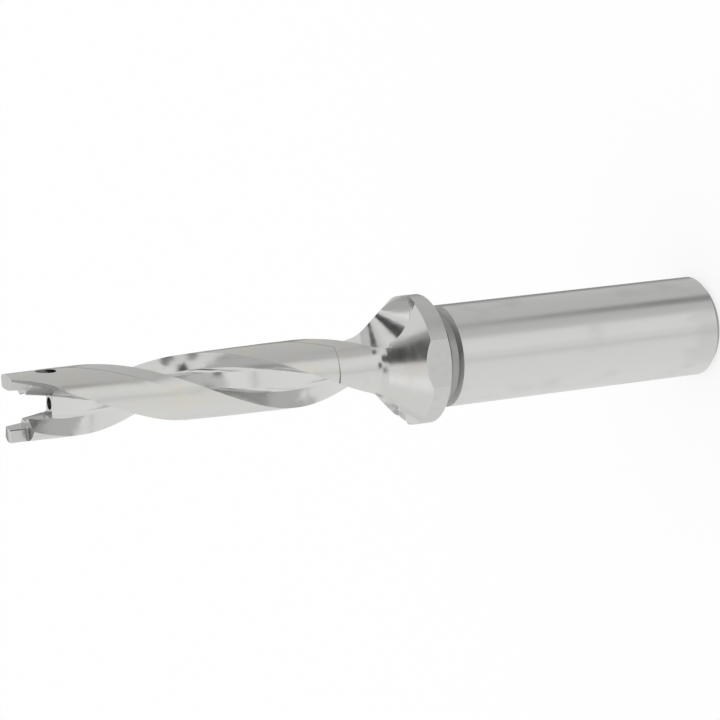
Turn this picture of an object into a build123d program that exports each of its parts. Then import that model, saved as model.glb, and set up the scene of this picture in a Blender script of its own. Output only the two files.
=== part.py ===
"""Indexable drill: the steel body that carries an exchangeable cutting head, shown without the head."""

import os
from math import cos, pi, radians, sin, tan

from build123d import *

os.makedirs("parts", exist_ok=True)

# Driving dimensions in millimetres and degrees, measured from the rear face of the shank towards the tip.

overall_length = 117.4      # rear face to the front faces of the horns

# Turned blank
shank_diameter = 15.875     # five eighths of an inch
shank_length = 47.2         # rear face to the groove
rear_chamfer = 1.0
shank_front_chamfer = 0.6
groove_diameter = 14.7
groove_width = 1.1
flange_diameter = 20.0
flange_back_rise = 1.6      # axial length of the slanted back of the flange
flange_width = 2.9          # axial length of the rim
flange_flats = 18.62        # distance across the two flats
flats_angle = -7.2          # direction the first flat faces
shoulder_angle = 36.8       # slope of the shoulder, measured from the axis
shoulder_fillet = 3.6       # radius between shoulder and neck
body_diameter = 10.256

# Flutes and lands
flute_lead = 70.0           # axial length of one full turn
flute_angle = 10.4          # direction of the first flute at the tip
web_thickness = 2.5         # steel left between the two flutes
floor_width = 3.3           # straight part of the flute floor
flute_opening = 90.0        # angle between the two edges of a flute
flute_corner = 0.8          # radius at both sides of the flute floor
relief_start = 66.2         # the land relief runs from here to the tip
margin_angle = 22.4         # width of the margin behind the leading edge
relief_step = 0.04          # height of the small step behind the margin
relief_middle = 0.1         # relief half way across the land
relief_depth = 0.27         # relief at the heel

# Run-out of the flutes in the shoulder
runout_height = 57.6
runout_radius = 6.0
runout_slope = 39.0         # slope of the run-out walls
runout_turn = 8.0
runout_tilt = 8.0

# Head pocket
pocket_base = 110.8
pocket_radius = 2.2
base_undercut = 0.9         # diameter of the round relief in the corner of the base
undercut_lift = 0.4         # height of its centre above the base
undercut_inset = 0.35       # distance of its centre from the wall of the seat
centre_hole = 1.9
centre_depth = 1.5

# Horns
ledge_height = 114.7        # the axial support of the head
drive_offset = 0.65         # the drive walls stand this far beyond the axis
inner_corner = 3.2          # distance from the axis to the inner corner of a drive wall
inner_slope = 17.0          # slant of the inner faces of the horns
corner_bevel = 0.15         # small bevel along the inner corner of a drive wall
drive_undercut = 0.5        # diameter of the relief at the foot of a drive wall
front_round = 0.5           # rounding of the horns at the rim
bevel_start = 0.5           # the front bevel starts this far on the heel side of the axis
bevel_angle = 9.0           # fall of the front bevel

# Flat ground on the heel of each land behind the tip
heel_flat_height = 113.8    # middle of the flat
heel_flat_depth = 0.3
heel_flat_end = 117.05
heel_flat_length = 20.0

# Coolant supply
inlet_diameter = 8.2
inlet_depth = 40.0
channel_diameter = 1.3
channel_radius = 3.4        # distance of the channels from the axis
channel_end = 108.9
outlet_diameter = 1.5
outlet_height = 111.5       # where the outlet reaches the outside of the land

# Derived sizes
shank_r = shank_diameter / 2
groove_r = groove_diameter / 2
flange_r = flange_diameter / 2
body_r = body_diameter / 2
flange_back = shank_length + groove_width
rim_back = flange_back + flange_back_rise
rim_front = rim_back + flange_width
shoulder_end = rim_front + (flange_r - body_r) / tan(radians(shoulder_angle))
turn_rate = 360 / flute_lead
floor_x = web_thickness / 2
clear = 1.0                 # how far cutting shapes reach past the steel


def flute_direction(height):
    """Angle of the first flute at a height above the rear face."""
    return flute_angle + (height - overall_length) * turn_rate


def direction(angle):
    """Unit vector across the axis at an angle."""
    return Vector(cos(radians(angle)), sin(radians(angle)), 0)


def side_plane(angle):
    """Plane through the axis, turned from the XZ plane by an angle."""
    return Plane(origin=(0, 0, 0), x_dir=direction(angle), z_dir=direction(angle - 90))


def cross_plane(height, angle):
    """Plane across the axis, its x direction turned to the given angle."""
    return Plane(origin=(0, 0, height), x_dir=direction(angle), z_dir=(0, 0, 1))


with BuildPart() as drill_body:
    # Turned blank: shank, groove, flange, shoulder, neck and the cylinder that will carry the flutes
    with BuildSketch(Plane.XZ):
        with BuildLine():
            Polyline(
                (0, 0),
                (shank_r - rear_chamfer, 0),
                (shank_r, rear_chamfer),
                (shank_r, shank_length - shank_front_chamfer),
                (groove_r, shank_length),
                (groove_r, flange_back),
                (flange_r, rim_back),
                (flange_r, rim_front),
                (body_r, shoulder_end),
                (body_r, overall_length),
                (0, overall_length),
                (0, 0),
            )
        make_face()
        shoulder_foot = vertices().sort_by_distance((body_r, shoulder_end, 0))[0]
        fillet(shoulder_foot, shoulder_fillet)
        front_corner = vertices().sort_by_distance((body_r, overall_length, 0))[0]
        fillet(front_corner, front_round)
    revolve(axis=Axis.Z)

    # Two flats on the flange
    with Locations(
        Location((0, 0, rim_front), (0, 0, flats_angle)),
        Location((0, 0, rim_front), (0, 0, flats_angle + 180)),
    ):
        with Locations((flange_flats / 2, 0, 0)):
            Box(
                flange_r, 2 * flange_r, 2 * (rim_front - flange_back),
                align=(Align.MIN, Align.CENTER, Align.CENTER),
                mode=Mode.SUBTRACT,
            )

    # Relief of the lands: a shallow crescent behind each margin, twisted with the flutes
    relief_length = overall_length + clear - relief_start
    relief_path = Line((0, 0, relief_start), (0, 0, overall_length + clear))
    relief_guide = Helix(flute_lead, relief_length, body_r, center=(0, 0, relief_start))
    for half_turn in (0, 180):
        lead_edge = flute_direction(relief_start) - flute_opening / 2 + half_turn
        with BuildSketch(cross_plane(relief_start, lead_edge)):
            crease = -margin_angle
            heel = flute_opening - 180 - 5
            middle = (crease + heel) / 2
            crease_r = body_r - relief_step
            heel_r = body_r - relief_depth
            middle_r = body_r - relief_middle
            outer_r = body_r + clear
            with BuildLine():
                ThreePointArc(
                    (crease_r * cos(radians(crease)), crease_r * sin(radians(crease))),
                    (middle_r * cos(radians(middle)), middle_r * sin(radians(middle))),
                    (heel_r * cos(radians(heel)), heel_r * sin(radians(heel))),
                )
                Line(
                    (heel_r * cos(radians(heel)), heel_r * sin(radians(heel))),
                    (outer_r * cos(radians(heel)), outer_r * sin(radians(heel))),
                )
                ThreePointArc(
                    (outer_r * cos(radians(heel)), outer_r * sin(radians(heel))),
                    (outer_r * cos(radians(middle)), outer_r * sin(radians(middle))),
                    (outer_r * cos(radians(crease)), outer_r * sin(radians(crease))),
                )
                Line(
                    (outer_r * cos(radians(crease)), outer_r * sin(radians(crease))),
                    (crease_r * cos(radians(crease)), crease_r * sin(radians(crease))),
                )
            make_face()
        sweep(path=relief_path, binormal=relief_guide, mode=Mode.SUBTRACT)

    # Flutes: two straight-floored channels twisted around the web
    flute_length = overall_length + clear - runout_height
    flute_path = Line((0, 0, runout_height), (0, 0, overall_length + clear))
    flute_guide = Helix(flute_lead, flute_length, body_r, center=(0, 0, runout_height))
    half_opening = radians(flute_opening / 2)
    rim_x = body_r * cos(half_opening)
    rim_y = body_r * sin(half_opening)
    wall_run = (rim_x - floor_x) / (rim_y - floor_width / 2)
    out_y = rim_y + 2 * clear
    out_x = rim_x + 2 * clear * wall_run
    for half_turn in (0, 180):
        with BuildSketch(cross_plane(runout_height, flute_direction(runout_height) + half_turn)):
            with BuildLine():
                Polyline(
                    (out_x, out_y),
                    (floor_x, floor_width / 2),
                    (floor_x, -floor_width / 2),
                    (out_x, -out_y),
                    (out_x, out_y),
                )
            make_face()
            fillet(vertices().group_by(Axis.X)[0], flute_corner)
        sweep(path=flute_path, binormal=flute_guide, mode=Mode.SUBTRACT)

    # Run-outs: a disc with slanted sides leaves the flute and climbs out through the shoulder
    for half_turn in (0, 180):
        centre_angle = flute_direction(runout_height) + runout_turn + half_turn
        centre_r = floor_x + runout_radius
        out_dir = direction(centre_angle)
        side_dir = direction(centre_angle + 90)
        disc_axis = side_dir * cos(radians(runout_tilt)) - Vector(0, 0, 1) * sin(radians(runout_tilt))
        disc_plane = Plane(
            origin=out_dir * centre_r + Vector(0, 0, runout_height),
            x_dir=disc_axis,
            z_dir=disc_axis.cross(out_dir * -1),
        )
        with BuildSketch(disc_plane):
            hub_half = floor_width / 2 + runout_radius * tan(radians(runout_slope))
            with BuildLine():
                Polyline(
                    (-hub_half, 0),
                    (-floor_width / 2, runout_radius),
                    (floor_width / 2, runout_radius),
                    (hub_half, 0),
                    (-hub_half, 0),
                )
            make_face()
            fillet(vertices().group_by(Axis.Y)[-1], flute_corner)
        revolve(axis=Axis(disc_plane.origin, disc_axis), mode=Mode.SUBTRACT)

    # Head pocket: the round seat for the stem of the head
    with BuildSketch(Plane.XY.offset(pocket_base)):
        Circle(pocket_radius)
    extrude(amount=overall_length + clear - pocket_base, mode=Mode.SUBTRACT)

    # Head pocket: above the ledges only the two horns stay
    slant = tan(radians(inner_slope))
    reach = 2 * body_r
    corner_x = drive_offset - corner_bevel
    corner_y = inner_corner - corner_bevel * slant
    with BuildSketch(Plane.XY.offset(ledge_height)):
        with BuildLine():
            Polyline(
                (drive_offset, -reach),
                (drive_offset, -inner_corner - corner_bevel),
                (corner_x, -corner_y),
                (-reach, -corner_y + (reach + corner_x) * slant),
                (-reach, reach),
                (-drive_offset, reach),
                (-drive_offset, inner_corner + corner_bevel),
                (-corner_x, corner_y),
                (reach, corner_y - (reach + corner_x) * slant),
                (reach, -reach),
                (drive_offset, -reach),
            )
        make_face()
    extrude(amount=overall_length + clear - ledge_height, mode=Mode.SUBTRACT)

    for half_turn in (0, 180):
        turned_xz = side_plane(half_turn)

        # Round relief at the foot of the drive wall
        with BuildSketch(turned_xz.offset(inner_corner - drive_undercut / 2)):
            with Locations((drive_offset, ledge_height + drive_undercut / 4)):
                Circle(drive_undercut / 2)
        extrude(amount=reach, mode=Mode.SUBTRACT)

        # Bevel on the heel side of the front face
        fall = reach * tan(radians(bevel_angle))
        with BuildSketch(turned_xz):
            with BuildLine():
                Polyline(
                    (-bevel_start, overall_length),
                    (-bevel_start - reach, overall_length),
                    (-bevel_start - reach, overall_length - fall),
                    (-bevel_start, overall_length),
                )
            make_face()
        extrude(amount=reach, mode=Mode.SUBTRACT)

        # Flat on the heel, along the twist of the land
        heel_angle = flute_direction(heel_flat_height) + flute_opening / 2 + half_turn
        heel_out = direction(heel_angle)
        heel_side = direction(heel_angle + 90)
        heel_r = body_r - relief_depth
        heel_run = heel_side * (2 * pi * heel_r / flute_lead) + Vector(0, 0, 1)
        facing = (heel_out - heel_side).normalized()
        facing = (facing - heel_run.normalized() * facing.dot(heel_run.normalized())).normalized()
        heel_point = heel_out * heel_r + Vector(0, 0, heel_flat_height) - facing * heel_flat_depth
        reach_up = (heel_flat_end - heel_flat_height) / heel_run.normalized().Z
        with BuildSketch(Plane(origin=heel_point, x_dir=heel_run, z_dir=facing)):
            with Locations((reach_up, 0)):
                Rectangle(heel_flat_length, 4 * clear, align=(Align.MAX, Align.CENTER))
        extrude(amount=clear, mode=Mode.SUBTRACT)

    # Centre hole in the pocket base
    with BuildSketch(Plane.XY.offset(pocket_base)):
        Circle(centre_hole / 2)
    extrude(amount=-centre_depth, mode=Mode.SUBTRACT)

    # Round undercut in the corner of the pocket base
    with BuildSketch(Plane.XZ):
        with Locations((pocket_radius - undercut_inset, pocket_base + undercut_lift)):
            Circle(base_undercut / 2)
    revolve(axis=Axis.Z, mode=Mode.SUBTRACT)

    # Coolant inlet in the shank, with a drilled bottom
    with BuildSketch(Plane.XZ):
        with BuildLine():
            Polyline(
                (0, -clear),
                (inlet_diameter / 2, -clear),
                (inlet_diameter / 2, inlet_depth),
                (0, inlet_depth + inlet_diameter / 2 * tan(radians(31))),
                (0, -clear),
            )
        make_face()
    revolve(axis=Axis.Z, mode=Mode.SUBTRACT)

    # Coolant channels: one twisted through each land, then a short slanted outlet behind the horn
    channel_start = inlet_depth - clear
    channel_path = Line((0, 0, channel_start), (0, 0, channel_end))
    channel_guide = Helix(flute_lead, channel_end - channel_start, body_r, center=(0, 0, channel_start))
    for half_turn in (0, 180):
        with BuildSketch(cross_plane(channel_start, flute_direction(channel_start) + 90 + half_turn)):
            with Locations((channel_radius, 0)):
                Circle(channel_diameter / 2)
        sweep(path=channel_path, binormal=channel_guide, mode=Mode.SUBTRACT)

        bend = direction(flute_direction(channel_end) + 90 + half_turn) * channel_radius
        bend = bend + Vector(0, 0, channel_end - channel_diameter / 2)
        mouth = direction(flute_direction(outlet_height) + 90 + half_turn) * body_r
        mouth = mouth + Vector(0, 0, outlet_height)
        with BuildSketch(Plane(origin=bend, z_dir=mouth - bend)):
            Circle(outlet_diameter / 2)
        extrude(amount=(mouth - bend).length + 2 * clear, mode=Mode.SUBTRACT)

drill_body.part.label = "drill_body"
export_step(drill_body.part, "parts/drill_body.step")
print("volume", round(drill_body.part.volume, 1), "box", drill_body.part.bounding_box())
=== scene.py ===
# %% [markdown]
# # A drill body of ground steel
# The object is the steel body of an indexable drill: a round ground shank, a flange that stops against the
# holder, a turned shoulder and neck, and two twisted flutes that end in a seat for an exchangeable head.
# It is one piece of steel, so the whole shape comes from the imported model, and this lesson is about finishes:
# how to tell the machined regions of one mesh apart, and how to give each the marks that its tool left.

from math import cos, hypot, pi, radians, sin, tan

import bpy
from mathutils import Matrix, Vector


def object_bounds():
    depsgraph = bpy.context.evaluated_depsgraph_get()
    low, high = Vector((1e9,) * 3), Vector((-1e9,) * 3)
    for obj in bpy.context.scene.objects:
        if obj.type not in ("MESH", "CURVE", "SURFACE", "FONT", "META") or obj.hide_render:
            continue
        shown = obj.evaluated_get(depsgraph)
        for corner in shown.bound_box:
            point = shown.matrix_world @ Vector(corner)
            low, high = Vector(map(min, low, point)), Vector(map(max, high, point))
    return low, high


mm = 1000     # millimetres in a metre
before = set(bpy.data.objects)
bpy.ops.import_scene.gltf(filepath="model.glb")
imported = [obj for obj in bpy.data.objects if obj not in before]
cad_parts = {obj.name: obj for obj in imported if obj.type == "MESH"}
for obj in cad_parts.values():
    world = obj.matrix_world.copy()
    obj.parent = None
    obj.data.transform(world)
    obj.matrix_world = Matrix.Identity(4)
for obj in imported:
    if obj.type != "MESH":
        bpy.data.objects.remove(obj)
cad_low, cad_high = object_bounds()
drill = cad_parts["drill_body"]
print("drill", len(drill.data.polygons), "faces, from", tuple(cad_low), "to", tuple(cad_high))

# %% [markdown]
# ## Sizes on the steel
# A finish starts and stops where a tool did, so the places are the sizes of the turned blank, in millimetres
# from the rear face, as a maker would read them from the drawing. Angles go round the axis, in degrees.
# One small function tells how far the two flutes have turned at any height.

# %% Sizes in millimetres
shank_top = 47.2
groove_top = 49.9
flange_top = 52.8
flange_radius = 10.0
flange_flat = 9.31
shoulder_slope = 36.8
body_radius = 5.128
land_start = 66.2
seat_base = 110.8
seat_radius = 2.2
ledge = 114.7
tip = float(cad_high[2]) * mm
flute_lead = 70.0
flute_at_tip = 10.4
inlet_radius = 4.1
channel_distance = 3.4
channel_reach = 1.1
outlet_foot = 108.25
outlet_mouth = 111.5


def flute_direction(height):
    """Angle of the first flute at a height, in degrees."""
    return flute_at_tip + (height - tip) * 360 / flute_lead


print("flutes turn", round((tip - land_start) * 360 / flute_lead), "degrees along the lands")

# %% [markdown]
# ## Steel and its marks
# Bare steel is a metal shader: its colour is the colour of what it reflects, and its roughness says how
# sharply. Machining leaves lines, and they run the way the tool ran: round the axis on turned and ground
# cylinders, along the twist in a flute. A noise texture makes such lines when it is squeezed across them and
# stretched along them. The coordinates are the object's own, in millimetres, so sizes can be read directly.

# %% Helpers for the node trees
class Finish:
    """One steel finish: a metal shader and the few nodes that give it its marks."""

    def __init__(self, name, colour, roughness):
        self.material = bpy.data.materials.new(name)
        self.material.use_nodes = True
        self.tree = self.material.node_tree
        self.shader = self.tree.nodes["Principled BSDF"]
        self.shader.inputs["Base Color"].default_value = (*colour, 1)
        self.shader.inputs["Metallic"].default_value = 1
        self.shader.inputs["Roughness"].default_value = roughness
        self.roughness = roughness
        place = self.tree.nodes.new("ShaderNodeTexCoord")
        scale = self.tree.nodes.new("ShaderNodeVectorMath")
        scale.operation = "SCALE"
        scale.inputs["Scale"].default_value = mm
        self.tree.links.new(place.outputs["Object"], scale.inputs[0])
        self.millimetres = scale.outputs[0]

    def twisted(self):
        """Coordinates that turn with the flutes, so that a line along them follows the twist."""
        height = self.tree.nodes.new("ShaderNodeSeparateXYZ")
        self.tree.links.new(self.millimetres, height.inputs[0])
        angle = self.math("MULTIPLY", height.outputs["Z"], -2 * pi / flute_lead)
        turn = self.tree.nodes.new("ShaderNodeVectorRotate")
        turn.rotation_type = "Z_AXIS"
        self.tree.links.new(self.millimetres, turn.inputs["Vector"])
        self.tree.links.new(angle, turn.inputs["Angle"])
        return turn.outputs[0]

    def math(self, operation, first, second):
        node = self.tree.nodes.new("ShaderNodeMath")
        node.operation = operation
        self.tree.links.new(first, node.inputs[0])
        node.inputs[1].default_value = second
        return node.outputs[0]

    def noise(self, size, detail=2.0, coordinates=None):
        """Noise with marks of the given size in millimetres along x, y and z."""
        stretch = self.tree.nodes.new("ShaderNodeVectorMath")
        stretch.operation = "DIVIDE"
        stretch.inputs[1].default_value = size
        self.tree.links.new(coordinates or self.millimetres, stretch.inputs[0])
        node = self.tree.nodes.new("ShaderNodeTexNoise")
        node.inputs["Scale"].default_value = 1
        node.inputs["Detail"].default_value = detail
        self.tree.links.new(stretch.outputs[0], node.inputs["Vector"])
        return node.outputs["Fac"]

    def range(self, value, start, end, low=0.0, high=1.0):
        node = self.tree.nodes.new("ShaderNodeMapRange")
        node.interpolation_type = "SMOOTHSTEP"
        for socket, number in zip(("From Min", "From Max", "To Min", "To Max"), (start, end, low, high)):
            node.inputs[socket].default_value = number
        self.tree.links.new(value, node.inputs["Value"])
        return node.outputs["Result"]

    def vary_roughness(self, mask, change):
        """Rougher by the given change where the mask is 1."""
        rougher = self.range(mask, 0.3, 0.7, self.roughness, self.roughness + change)
        self.tree.links.new(rougher, self.shader.inputs["Roughness"])

    def tint(self, mask, colour):
        """Blends the base colour towards another where the mask is 1."""
        mix = self.tree.nodes.new("ShaderNodeMix")
        mix.data_type = "RGBA"
        base = self.shader.inputs["Base Color"]
        if base.is_linked:
            self.tree.links.new(base.links[0].from_socket, mix.inputs["A"])
        else:
            mix.inputs["A"].default_value = base.default_value
        mix.inputs["B"].default_value = (*colour, 1)
        self.tree.links.new(mask, mix.inputs["Factor"])
        self.tree.links.new(mix.outputs["Result"], base)

    def paint_edge_highlights(self, width):
        """Sharp edges, rounded over the given width in millimetres, get a painted highlight: a paler colour
        than the faces.
        """
        rounded = self.tree.nodes.new("ShaderNodeBevel")
        rounded.inputs["Radius"].default_value = width / mm
        flat = self.tree.nodes.new("ShaderNodeNewGeometry")
        same = self.tree.nodes.new("ShaderNodeVectorMath")
        same.operation = "DOT_PRODUCT"
        self.tree.links.new(rounded.outputs["Normal"], same.inputs[0])
        self.tree.links.new(flat.outputs["Normal"], same.inputs[1])
        # How well the two directions agree on a face and at an edge
        unbent, bent, strength = 0.995, 0.93, 0.8
        # Painted highlight: the base colour turns paler where the rounded copy bends away from the face
        self.tint(self.range(same.outputs["Value"], unbent, bent, 0, strength), edge_highlight_colour)

    def marks(self, height, depth):
        """Bump of the given depth in millimetres, laid over what is there."""
        bump = self.tree.nodes.new("ShaderNodeBump")
        bump.inputs["Distance"].default_value = depth / mm
        normal = self.shader.inputs["Normal"]
        if normal.is_linked:
            self.tree.links.new(normal.links[0].from_socket, bump.inputs["Normal"])
        self.tree.links.new(height, bump.inputs["Height"])
        self.tree.links.new(bump.outputs["Normal"], normal)


steel = (0.60, 0.60, 0.585)
warm_steel = (0.64, 0.60, 0.50)
brown_steel = (0.60, 0.56, 0.52)
dull_steel = (0.50, 0.50, 0.49)
# Paler colour of the painted edge highlights
edge_highlight_colour = (0.85, 0.85, 0.83)
print("steel reflects", steel)

# %% [markdown]
# ## The ground shank
# The shank is ground round to a few thousandths, so it is bright but not a mirror: fine lines run round it,
# and the finish is a little cloudy. The lines are noise squeezed along the axis. Broad soft noise changes the
# roughness and the colour slightly, as hands and oil do.

# %% Ground shank
shank_ground = Finish("shank_ground", steel, 0.17)
shank_ground.marks(shank_ground.noise((9, 9, 0.07), 3), 0.0012)
shank_ground.marks(shank_ground.noise((14, 14, 0.5), 2), 0.0016)
cloud = shank_ground.noise((5, 5, 9), 3)
shank_ground.vary_roughness(cloud, 0.08)
shank_ground.tint(shank_ground.range(cloud, 0.5, 0.72, 0, 0.45), dull_steel)
print("made", shank_ground.material.name)

# %% [markdown]
# ## Turned faces
# The rear face, the groove and the back of the flange are turned and left as they came from the lathe, so
# they are darker and rougher than the shank. The tool's path leaves rings, a tenth of a millimetre apart.

# %% Turned groove and rear face
groove_turned = Finish("groove_turned", (0.34, 0.34, 0.33), 0.34)
groove_turned.marks(groove_turned.noise((20, 20, 0.12), 2), 0.003)
groove_turned.vary_roughness(groove_turned.noise((3, 3, 1), 2), 0.12)
print("made", groove_turned.material.name)

# %% [markdown]
# ## The flange
# The rim of the flange and its two flats have a fine matt grain, as if blasted. The grain is a small even
# noise, as deep as it is wide, and the light spreads widely over it. The sharp edges get a painted
# highlight: where a rounded copy of the surface would look another way than the face, the colour is paler.

# %% Matt flange
flange_matt = Finish("flange_matt", (0.56, 0.56, 0.55), 0.36)
flange_matt.marks(flange_matt.noise((0.18, 0.18, 0.18), 3), 0.006)
flange_matt.tint(flange_matt.range(flange_matt.noise((1.1, 1.1, 1.1), 4), 0.45, 0.75, 0, 0.5), dull_steel)
flange_matt.paint_edge_highlights(0.15)
print("made", flange_matt.material.name)

# %% [markdown]
# ## The turned neck and shoulder
# This stretch is turned and polished, and it curves from cylinder to cone, so it mirrors the whole studio in
# a few centimetres. Faint rings stay from the lathe, wider apart where the neck begins.

# %% Polished neck
neck_polished = Finish("neck_polished", steel, 0.16)
neck_polished.marks(neck_polished.noise((30, 30, 0.16), 2), 0.0012)
neck_polished.marks(neck_polished.noise((40, 40, 0.9), 1), 0.006)
neck_polished.vary_roughness(neck_polished.noise((2.5, 2.5, 2.5), 3), 0.08)
handling = neck_polished.noise((4, 4, 3), 2)
neck_polished.tint(neck_polished.range(handling, 0.52, 0.72, 0, 0.5), brown_steel)
print("made", neck_polished.material.name)

# %% [markdown]
# ## The lands
# The lands are ground round like the shank and are a little duller than the flutes, with pale straw-coloured
# patches. Their fine lines run round the drill, and the patches are a soft noise a few millimetres wide.

# %% Satin lands
land_ground = Finish("land_ground", steel, 0.22)
land_ground.marks(land_ground.noise((6, 6, 0.12), 2), 0.0005)
land_patches = land_ground.noise((3.2, 3.2, 5), 3)
land_ground.tint(land_ground.range(land_patches, 0.42, 0.70, 0, 0.5), warm_steel)
land_ground.vary_roughness(land_ground.noise((1.4, 1.4, 1.8), 2), 0.05)
print("made", land_ground.material.name)

# %% [markdown]
# ## The flutes
# The flutes are ground and polished so that chips slide along them. Their lines follow the twist, so the
# noise is read in coordinates that turn with the flutes: it is squeezed across them and stretched along them.

# %% Polished flutes
flute_polished = Finish("flute_polished", (0.62, 0.62, 0.61), 0.12)
along_twist = flute_polished.twisted()
flute_polished.marks(flute_polished.noise((0.16, 0.16, 12), 2, along_twist), 0.0022)
flute_polished.marks(flute_polished.noise((0.9, 0.9, 16), 1, along_twist), 0.006)
flute_polished.vary_roughness(flute_polished.noise((0.8, 0.8, 9), 3, along_twist), 0.08)
print("made", flute_polished.material.name)

# %% [markdown]
# ## Seat and bores
# The seat for the head and the two horns are milled, with short marks in all directions. The drilled coolant
# holes get painted shade, a dark colour for the light that goes in and hardly comes out; their wall is rough.

# %% Milled seat, and painted shade for the bores
seat_milled = Finish("seat_milled", (0.52, 0.52, 0.51), 0.24)
seat_milled.marks(seat_milled.noise((0.35, 0.35, 0.35), 3), 0.003)
# Painted highlight along the seat's sharp edges
seat_milled.paint_edge_highlights(0.08)
# Painted shade: a near-black colour stands for the shade inside the bores and recesses
recess_painted_shade = Finish("recess_painted_shade", (0.16, 0.155, 0.15), 0.42)
recess_painted_shade.marks(recess_painted_shade.noise((3, 3, 0.2), 2), 0.006)
print("made", seat_milled.material.name, "and", recess_painted_shade.material.name)

# %% [markdown]
# ## Which face has which finish
# The mesh is one piece, but a material slot can be chosen for each face. Where a face lies and where it looks
# tell which tool made it. The turned profile is easy: a face on it has the profile's radius at its height and
# looks away from the axis. Whatever lies deeper is a flute, the seat or a bore.

# %% Choose a finish for every face
finishes = [
    shank_ground,
    groove_turned,
    flange_matt,
    neck_polished,
    land_ground,
    flute_polished,
    seat_milled,
    recess_painted_shade,
]
face_margin = 0.1       # a face counts as at a place when it is this close, in millimetres
blank_margin = 0.3      # long triangles on a round surface lie this far inside it
land_depth = 0.45       # the relief of a land goes down to here
channel_start = 37.2    # the coolant channels lie between these two heights
channel_end = 112.5
slot_of = {finish.material.name: index for index, finish in enumerate(finishes)}


def turned_radius(height):
    """Radius of the turned blank above the flange."""
    return max(body_radius, flange_radius - (height - flange_top) * tan(radians(shoulder_slope)))


def near_channel(centre):
    """True inside one of the two twisted coolant channels or its slanted outlet."""
    if not channel_start <= centre.z <= channel_end:
        return False
    rise = max(0, (centre.z - outlet_foot) / (outlet_mouth - outlet_foot))
    distance = channel_distance + rise * (body_radius - channel_distance)
    angle = radians(flute_direction(centre.z) + 90)
    along = Vector((cos(angle), sin(angle))) * distance
    flat = Vector((centre.x, centre.y))
    return min((flat - along).length, (flat + along).length) < channel_reach


def finish_of(centre, normal):
    """Name of the finish of a face, from its middle in millimetres and its direction."""
    radius = hypot(centre.x, centre.y)
    # 1 for a face that looks straight away from the axis, 0 for one that looks along it, -1 for a bore's wall
    outward = (centre.x * normal.x + centre.y * normal.y) / max(radius, 0.001)
    if face_margin / 10 < centre.z < shank_top and radius < inlet_radius + 2 * face_margin:
        return "recess_painted_shade"
    if centre.z < shank_top and outward > 0.9:
        return "shank_ground"
    if centre.z < groove_top - face_margin / 2:
        return "groove_turned"
    if centre.z < flange_top + face_margin / 2 and radius > flange_flat - face_margin:
        return "flange_matt"
    on_blank = radius > turned_radius(centre.z) - blank_margin and outward > 0.5
    # The small step where the lands end gets the painted shade of the bores
    if abs(centre.z - land_start) < face_margin and abs(normal.z) > 0.8:
        return "recess_painted_shade"
    if on_blank and centre.z < land_start - face_margin:
        return "neck_polished"
    if on_blank and radius > body_radius - land_depth:
        return "land_ground"
    # The mouths of the coolant channels get the painted shade of the bores
    if near_channel(centre) and outward < 0.95:
        return "recess_painted_shade"
    in_seat = centre.z > seat_base - face_margin and radius < seat_radius + face_margin
    if in_seat or centre.z > ledge - face_margin / 2:
        return "seat_milled"
    return "flute_polished"


mesh = drill.data
mesh.materials.clear()
for finish in finishes:
    mesh.materials.append(finish.material)
counts = dict.fromkeys(slot_of, 0)
for face in mesh.polygons:
    name = finish_of(face.center * mm, face.normal)
    face.material_index = slot_of[name]
    counts[name] += 1
print("faces per finish", counts)

# %% [markdown]
# ## Floor
# The drill stands on its rear face on a plain pale floor. The floor is hidden from mirror-like reflections,
# so the steel mirrors only the soft studio, and it adds a little light of its own for the camera, so that it
# reads as white paper and still keeps the shadow at the foot of the drill.

# %% Pale floor
floor_size = 40         # metres, so that its edge is out of the picture
paper_grey = 0.8
paper_glow = 1.08       # just over the brightness that shows as white
camera_share = 0.7      # how much of the glow the camera sees, and the rest is the matt paper
bpy.ops.mesh.primitive_plane_add(size=floor_size, location=(0, 0, 0))
floor = bpy.context.object
floor.name = "studio_floor"
floor.visible_glossy = False
paper = bpy.data.materials.new("white_paper")
paper.use_nodes = True
nodes = paper.node_tree.nodes
links = paper.node_tree.links
nodes.clear()
ray = nodes.new("ShaderNodeLightPath")
matt = nodes.new("ShaderNodeBsdfDiffuse")
matt.inputs["Color"].default_value = (paper_grey, paper_grey, paper_grey, 1)
glow = nodes.new("ShaderNodeEmission")
glow.inputs["Strength"].default_value = paper_glow
camera_glow = nodes.new("ShaderNodeMixShader")
glow_share = nodes.new("ShaderNodeMath")
glow_share.operation = "MULTIPLY"
glow_share.inputs[1].default_value = camera_share
out = nodes.new("ShaderNodeOutputMaterial")
links.new(ray.outputs["Is Camera Ray"], glow_share.inputs[0])
links.new(glow_share.outputs[0], camera_glow.inputs["Fac"])
links.new(matt.outputs[0], camera_glow.inputs[1])
links.new(glow.outputs[0], camera_glow.inputs[2])
links.new(camera_glow.outputs[0], out.inputs["Surface"])
floor.data.materials.append(paper)
print("floor at height", floor.location.z)

# %% [markdown]
# ## Studio light
# Polished steel shows the room more than itself. The studio here is a large white tent, written into the
# world as a brightness for each direction: a ramp round the horizon gives the shank its light band between
# grey ones, and soft dark patches stand for gaps in the tent, which give the shoulder and the flutes their
# dark streaks. The camera itself sees plain white.

# %% Tent of light
world = bpy.data.worlds.new("light_tent")
bpy.context.scene.world = world
world.use_nodes = True
tent = world.node_tree
tent.nodes.clear()


def tent_node(kind, **settings):
    node = tent.nodes.new(kind)
    for key, value in settings.items():
        setattr(node, key, value)
    return node


def tent_math(operation, *values):
    node = tent_node("ShaderNodeMath", operation=operation)
    for socket, value in zip(node.inputs, values):
        if isinstance(value, (int, float)):
            socket.default_value = value
        else:
            tent.links.new(value, socket)
    return node.outputs[0]


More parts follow.
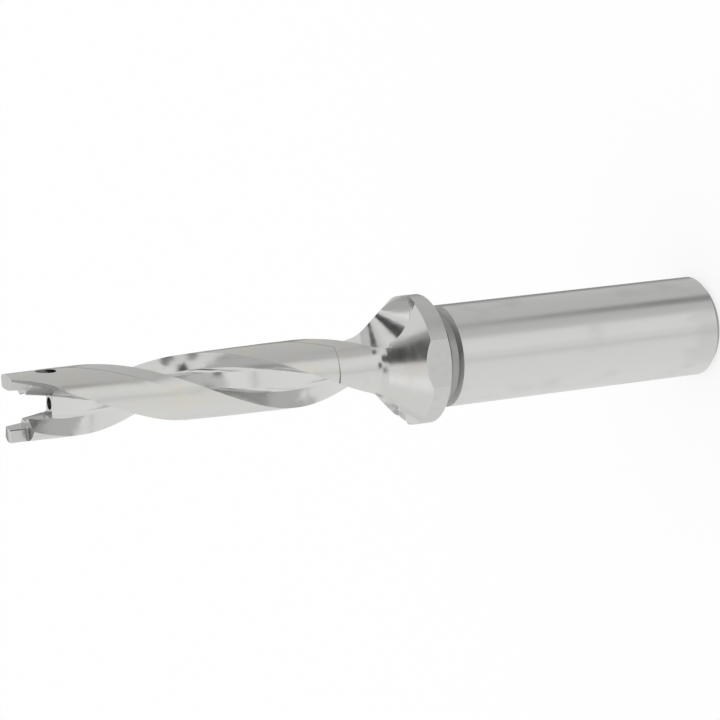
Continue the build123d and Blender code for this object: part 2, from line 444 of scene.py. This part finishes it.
def tent_step(value, start, end, low=0.0, high=1.0):
    node = tent_node("ShaderNodeMapRange", interpolation_type="SMOOTHSTEP")
    for socket, number in zip(("From Min", "From Max", "To Min", "To Max"), (start, end, low, high)):
        node.inputs[socket].default_value = number
    tent.links.new(value, node.inputs["Value"])
    return node.outputs["Result"]


def blend_level(level, mask, other):
    """Moves a brightness towards another, as far as the mask says."""
    step = tent_math("SUBTRACT", other, level)
    return tent_math("ADD", level, tent_math("MULTIPLY", step, mask))


direction = tent_node("ShaderNodeTexCoord").outputs["Generated"]
axes = tent_node("ShaderNodeSeparateXYZ")
tent.links.new(direction, axes.inputs[0])
around = tent_math("DIVIDE", tent_math("ARCTAN2", axes.outputs["Y"], axes.outputs["X"]), 2 * pi)
around = tent_math("ADD", around, 0.5)

# Brightness round the horizon, by direction in degrees
horizon = (
    (-180, 0.80), (-150, 0.95), (-110, 1.06), (-30, 1.02), (-22, 0.95), (-18, 0.80), (-13, 0.98), (0, 1.06),
    (26, 1.04), (36, 0.76), (60, 0.72), (140, 0.74), (165, 0.66), (180, 0.72),
)
brightest = 1.1     # a ramp holds colours up to 1, so the levels are scaled by this
ramp = tent_node("ShaderNodeValToRGB")
stops = ramp.color_ramp.elements
while len(stops) > 1:
    stops.remove(stops[0])
for index, (angle, level) in enumerate(horizon):
    stop = stops[0] if index == 0 else stops.new(angle / 360 + 0.5)
    stop.position = angle / 360 + 0.5
    stop.color = (level / brightest, level / brightest, level / brightest, 1)
tent.links.new(around, ramp.inputs[0])
low_light = tent_math("MULTIPLY", ramp.outputs["Color"], brightest)

# Higher up, the tent has one brightness all round
top_level = 0.98
horizon_end, top_start = -0.1, 0.35
is_high = tent_step(axes.outputs["Z"], horizon_end, top_start)
brightness = blend_level(low_light, is_high, top_level)

# Gaps and bright spots in the tent: direction, radius in degrees, softness in degrees, brightness
gaps = (
    ((0.20, -0.50, 0.85), 14, 9, 1.30),
    ((0.52, 0.45, 0.72), 6, 9, 0.40),
    ((0.655, 0.08, 0.75), 8, 4, 0.08),
    ((0.61, 0.30, 0.73), 8, 4, 0.08),
    ((0.80, 0.16, 0.58), 8, 4, 0.09),
    ((0.88, 0.20, 0.43), 7, 5, 0.12),
    ((0.99, -0.12, 0.08), 6, 6, 0.12),
    ((0.83, -0.37, 0.42), 5, 6, 0.22),
    ((0.75, 0.62, -0.18), 4, 5, 0.15),
    ((0.355, 0.727, -0.588), 5, 5, 0.30),
    ((-0.81, 0.37, -0.46), 6, 6, 0.32),
    ((-0.35, 0.55, -0.76), 8, 6, 0.35),
    ((-0.52, -0.84, -0.05), 8, 8, 0.50),
    ((-0.95, -0.1, -0.1), 10, 8, 0.35),
)
for towards, radius, softness, level in gaps:
    near = tent_node("ShaderNodeVectorMath", operation="DOT_PRODUCT")
    tent.links.new(direction, near.inputs[0])
    near.inputs[1].default_value = Vector(towards).normalized()
    mask = tent_step(near.outputs["Value"], cos(radians(radius + softness)), cos(radians(radius)))
    brightness = blend_level(brightness, mask, level)

light_path = tent_node("ShaderNodeLightPath")
plain = tent_math("SUBTRACT", 1, light_path.outputs["Is Glossy Ray"])
shown = blend_level(brightness, plain, 1.0)
sky = tent_node("ShaderNodeBackground")
sky.inputs["Color"].default_value = (1, 1, 1, 1)
tent.links.new(shown, sky.inputs["Strength"])
tent.links.new(sky.outputs[0], tent_node("ShaderNodeOutputWorld").inputs["Surface"])
print("tent with", len(gaps), "gaps")

# %% [markdown]
# ## Camera
# The photograph looks at the drill from the side and a little from the tip, with the camera rolled so that
# the drill lies across the picture. The place and the three directions come from matching the drill's
# outline, and a long lens keeps the perspective gentle.

# %% Camera at the photograph's view
camera_place = Vector((0.39744, 0.0, 0.246))
picture_right = Vector((0.41987775, -0.12049346, -0.89954655))
picture_down = Vector((-0.05279707, -0.99271209, 0.10832902))
looking = Vector((-0.90604368, 0.00200848, -0.42317942))
lens = bpy.data.cameras.new("studio_camera")
lens.lens = 143.34
lens.sensor_width = 36
lens.clip_start = 0.01
camera = bpy.data.objects.new("studio_camera", lens)
bpy.context.collection.objects.link(camera)
turn = Matrix((picture_right, -picture_down, -looking)).transposed()
camera.matrix_world = Matrix.Translation(camera_place) @ turn.to_4x4()
bpy.context.scene.camera = camera
bpy.context.scene.view_settings.view_transform = "Standard"
print("camera", round(camera_place.length * mm), "mm from the drill's foot")
